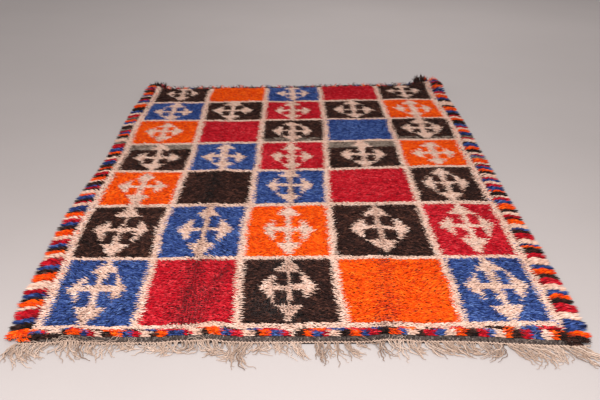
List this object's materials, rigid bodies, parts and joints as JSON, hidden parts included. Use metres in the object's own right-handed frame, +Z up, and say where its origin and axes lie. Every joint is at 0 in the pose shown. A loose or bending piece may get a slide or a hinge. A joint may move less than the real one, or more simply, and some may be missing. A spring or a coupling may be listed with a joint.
{
  "type": "moroccan rug",
  "caption": "Long hand-knotted shag rug with a lattice of coloured fields, a flat-woven end band and a warp fringe, lying flat with two curled corners.",
  "frame": {"origin": "middle of the rug's outline, on the surface that it lies on", "axes": "+Z up out of the pile, +Y along the warp away from the fringed end, +X to the right seen from the fringed end"},
  "size_m": [1.712, 2.924, 0.0769],
  "materials": {
    "pile_wool": "matt shag wool in blue, red, orange, brown-black and cream",
    "weave_wool": "matt flat-woven dark grey-brown wool",
    "fringe_wool": "matt undyed twisted wool"
  },
  "bodies": {
    "root": {"pile_field": "pile_wool", "end_weave": "weave_wool", "warp_fringe": "fringe_wool"}
  },
  "joints": []
}
